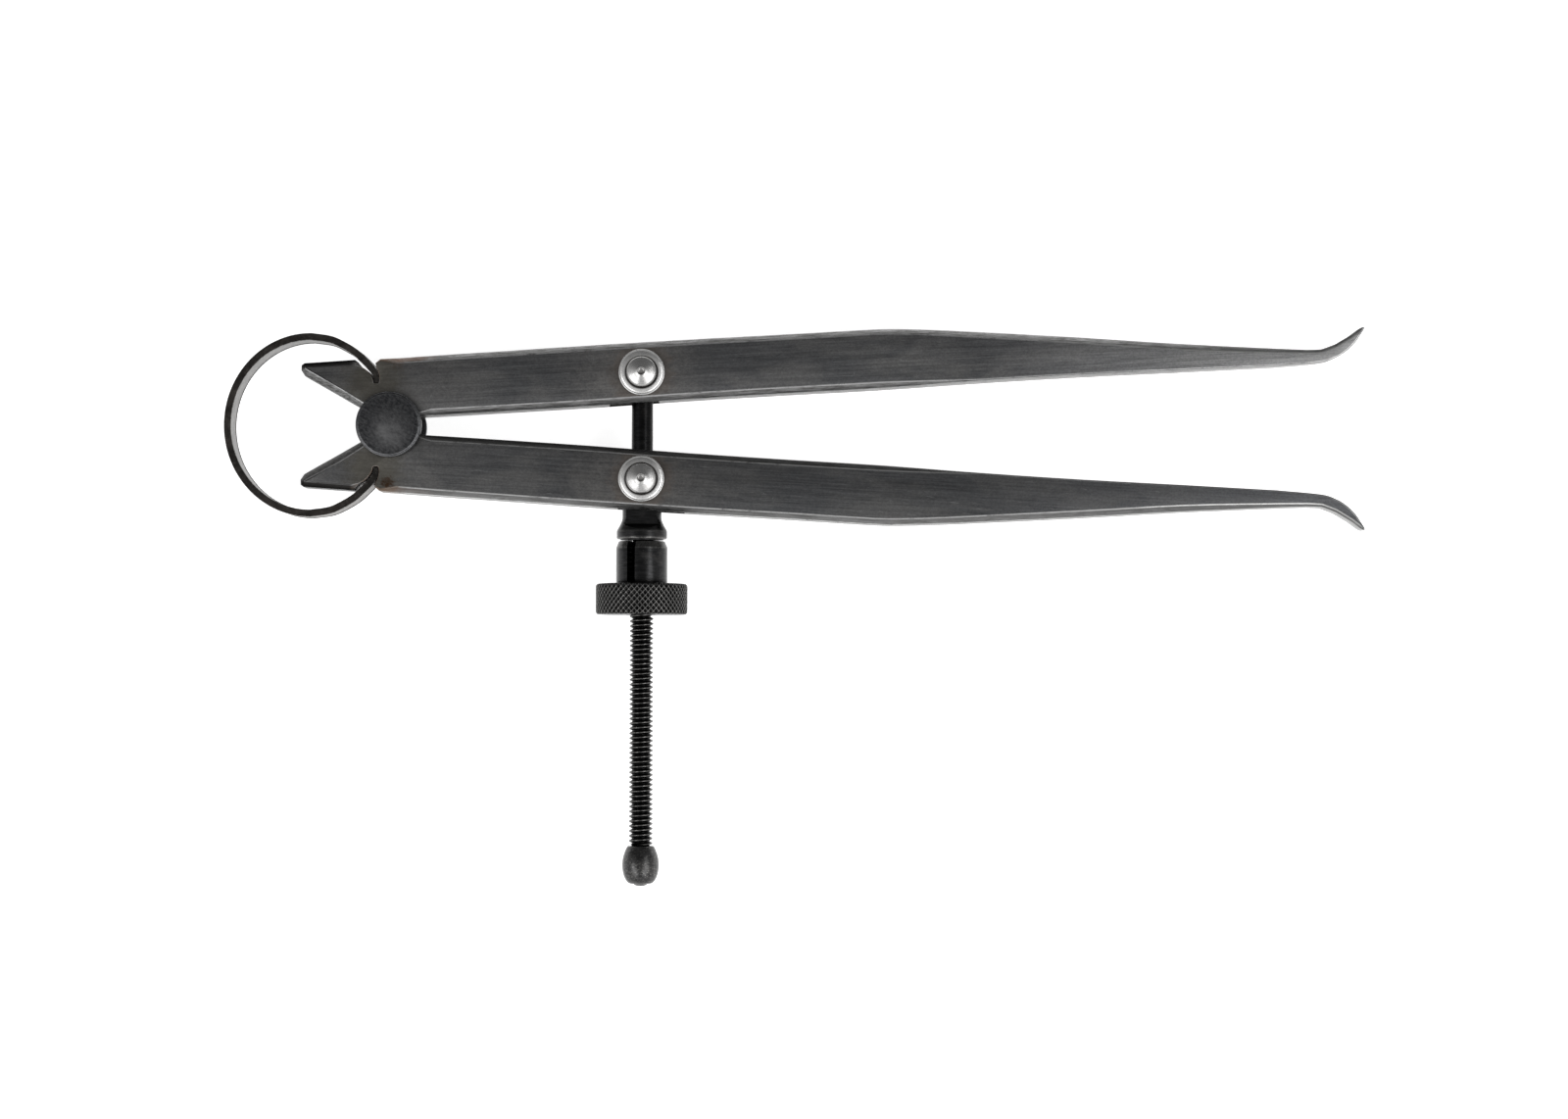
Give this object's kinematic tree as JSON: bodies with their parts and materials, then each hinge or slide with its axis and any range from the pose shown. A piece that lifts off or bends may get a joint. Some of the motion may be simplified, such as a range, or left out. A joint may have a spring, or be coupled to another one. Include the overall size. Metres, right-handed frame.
{
  "type": "inside spring caliper",
  "caption": "Inside spring caliper: flat steel legs with out-turned tips on a fulcrum stud, bow spring, cross screw and a knurled split quick-adjusting nut.",
  "frame": {"origin": "centre of the fulcrum stud's rear face, on the axis that both legs turn about", "axes": "+X from the fulcrum to the leg tips along the centre line between the legs, +Y to the upper leg, +Z out of the front faces; the adjusting screw runs along -Y"},
  "size_m": [0.1486, 0.0733, 0.012],
  "materials": {
    "leg_steel": "dark gunmetal steel, brushed lengthwise, with worn chamfers and slight rust",
    "spring_steel": "blackened tempered spring steel",
    "stud_steel": "blued steel, worn in the middle",
    "black_oxide": "black oxide steel, slightly oily",
    "knob_steel": "dark turned steel",
    "bright_steel": "bright turned steel"
  },
  "bodies": {
    "frame": {"fulcrum_stud": "stud_steel", "bow_spring": "spring_steel"},
    "upper_leg": {"upper_leg": "leg_steel"},
    "lower_leg": {"lower_leg": "leg_steel"},
    "screw": {"screw_anchor_pin": "bright_steel", "pin_washer_upper_front": "bright_steel", "pin_washer_upper_rear": "bright_steel", "adjusting_screw": "black_oxide", "screw_end_knob": "knob_steel"},
    "swivel": {"nut_swivel_pin": "bright_steel", "pin_washer_lower_front": "bright_steel", "pin_washer_lower_rear": "bright_steel"},
    "thrust_washer": {"cone_washer": "black_oxide"},
    "nut": {"knurled_nut_ring": "black_oxide", "nut_jaw_spring": "bright_steel"},
    "jaw_a": {"nut_jaw_a": "black_oxide"},
    "jaw_b": {"nut_jaw_b": "black_oxide"}
  },
  "joints": [
    {"name": "leg_opening", "type": "hinge", "parent": "frame", "child": "upper_leg", "pos_m": [0, 0, 0.00397], "axis": [0, 0, 1], "range_deg": [-3.4, 25], "deforming": ["bow_spring"]},
    {"name": "lower_leg_swing", "type": "hinge", "parent": "frame", "child": "lower_leg", "pos_m": [0, 0, 0.00397], "axis": [0, 0, 1], "range_deg": [-25, 3.4]},
    {"name": "screw_swivel", "type": "hinge", "parent": "upper_leg", "child": "screw", "pos_m": [0.0328, 0.00693, 0.00397], "axis": [0, 0, 1], "range_deg": [-25, 3.4]},
    {"name": "nut_swivel", "type": "hinge", "parent": "lower_leg", "child": "swivel", "pos_m": [0.0328, -0.00693, 0.00397], "axis": [0, 0, 1], "range_deg": [-3.4, 25]},
    {"name": "nut_release", "type": "slide", "parent": "swivel", "child": "thrust_washer", "axis": [0, -1, 0], "range_m": [0, 0.0012]},
    {"name": "nut_spin", "type": "hinge", "parent": "thrust_washer", "child": "nut", "pos_m": [0.0328, -0.00693, 0.00397], "axis": [0, -1, 0], "continuous": true},
    {"name": "jaw_a_rock", "type": "hinge", "parent": "nut", "child": "jaw_a", "pos_m": [0.0353, -0.02325, 0.00503], "axis": [0.3907, 0, -0.9205], "range_deg": [0, 2.2]},
    {"name": "jaw_b_rock", "type": "hinge", "parent": "nut", "child": "jaw_b", "pos_m": [0.0303, -0.02325, 0.00291], "axis": [0.3907, 0, -0.9205], "range_deg": [-2.2, 0]}
  ],
  "couplings": [
    {"joint": "lower_leg_swing", "follows": "leg_opening", "ratio": -1},
    {"joint": "screw_swivel", "follows": "leg_opening", "ratio": -1},
    {"joint": "nut_swivel", "follows": "leg_opening", "ratio": 1},
    {"joint": "jaw_a_rock", "follows": "nut_release", "rad_per_m": 31.998},
    {"joint": "jaw_b_rock", "follows": "nut_release", "rad_per_m": -31.998}
  ]
}
